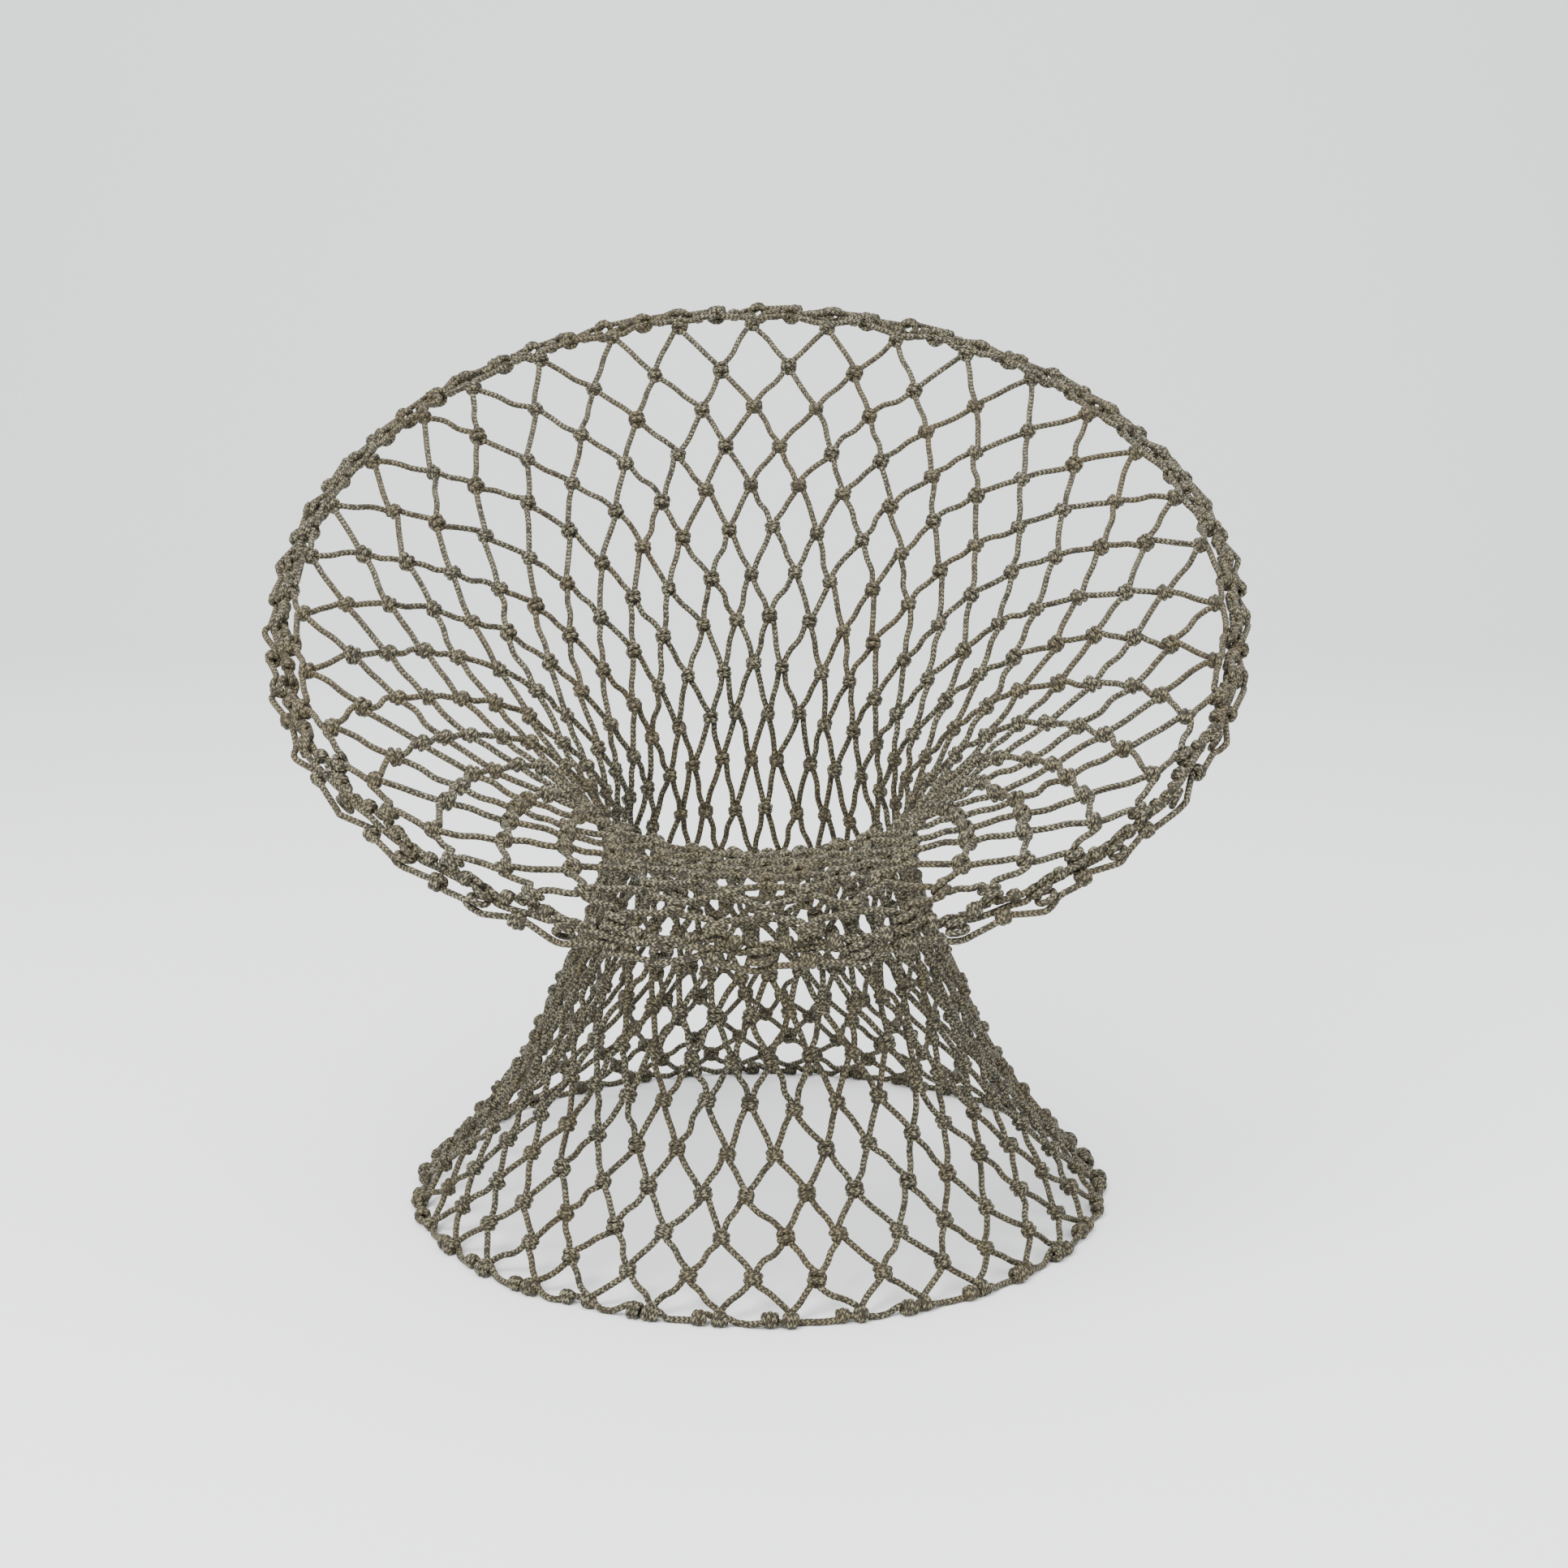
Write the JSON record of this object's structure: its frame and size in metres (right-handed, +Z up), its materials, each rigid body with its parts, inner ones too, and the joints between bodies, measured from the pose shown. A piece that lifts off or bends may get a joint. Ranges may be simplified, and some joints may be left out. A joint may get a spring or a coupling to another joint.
{
  "type": "net lounge chair",
  "caption": "Hourglass lounge chair knotted from stiffened braided cord: a flared foot, a narrow throat and a wide open dish with a high back.",
  "frame": {"origin": "middle of the foot ring, on the floor", "axes": "+Z up, +Y towards the high back of the dish, so the sitter faces -Y; +X to the right seen from the front"},
  "size_m": [0.7526, 0.6301, 0.6925],
  "materials": {
    "braided_cord": "two-tone braided cord, dark olive grey with cream flecks, stiffened, matt"
  },
  "bodies": {
    "root": {"rim_cord": "braided_cord", "rim_band_round_1": "braided_cord", "rim_band_round_2": "braided_cord", "netting_round_01": "braided_cord", "netting_round_02": "braided_cord", "netting_round_03": "braided_cord", "netting_round_04": "braided_cord", "netting_round_05": "braided_cord", "netting_round_06": "braided_cord", "netting_round_07": "braided_cord", "netting_round_08": "braided_cord", "netting_round_09": "braided_cord", "netting_round_10": "braided_cord", "netting_round_11": "braided_cord", "netting_round_12": "braided_cord", "netting_round_13": "braided_cord", "netting_round_14": "braided_cord", "netting_round_15": "braided_cord", "netting_round_16": "braided_cord", "netting_round_17": "braided_cord", "netting_round_18": "braided_cord", "netting_round_19": "braided_cord", "netting_round_20": "braided_cord", "foot_cord": "braided_cord"}
  },
  "joints": []
}
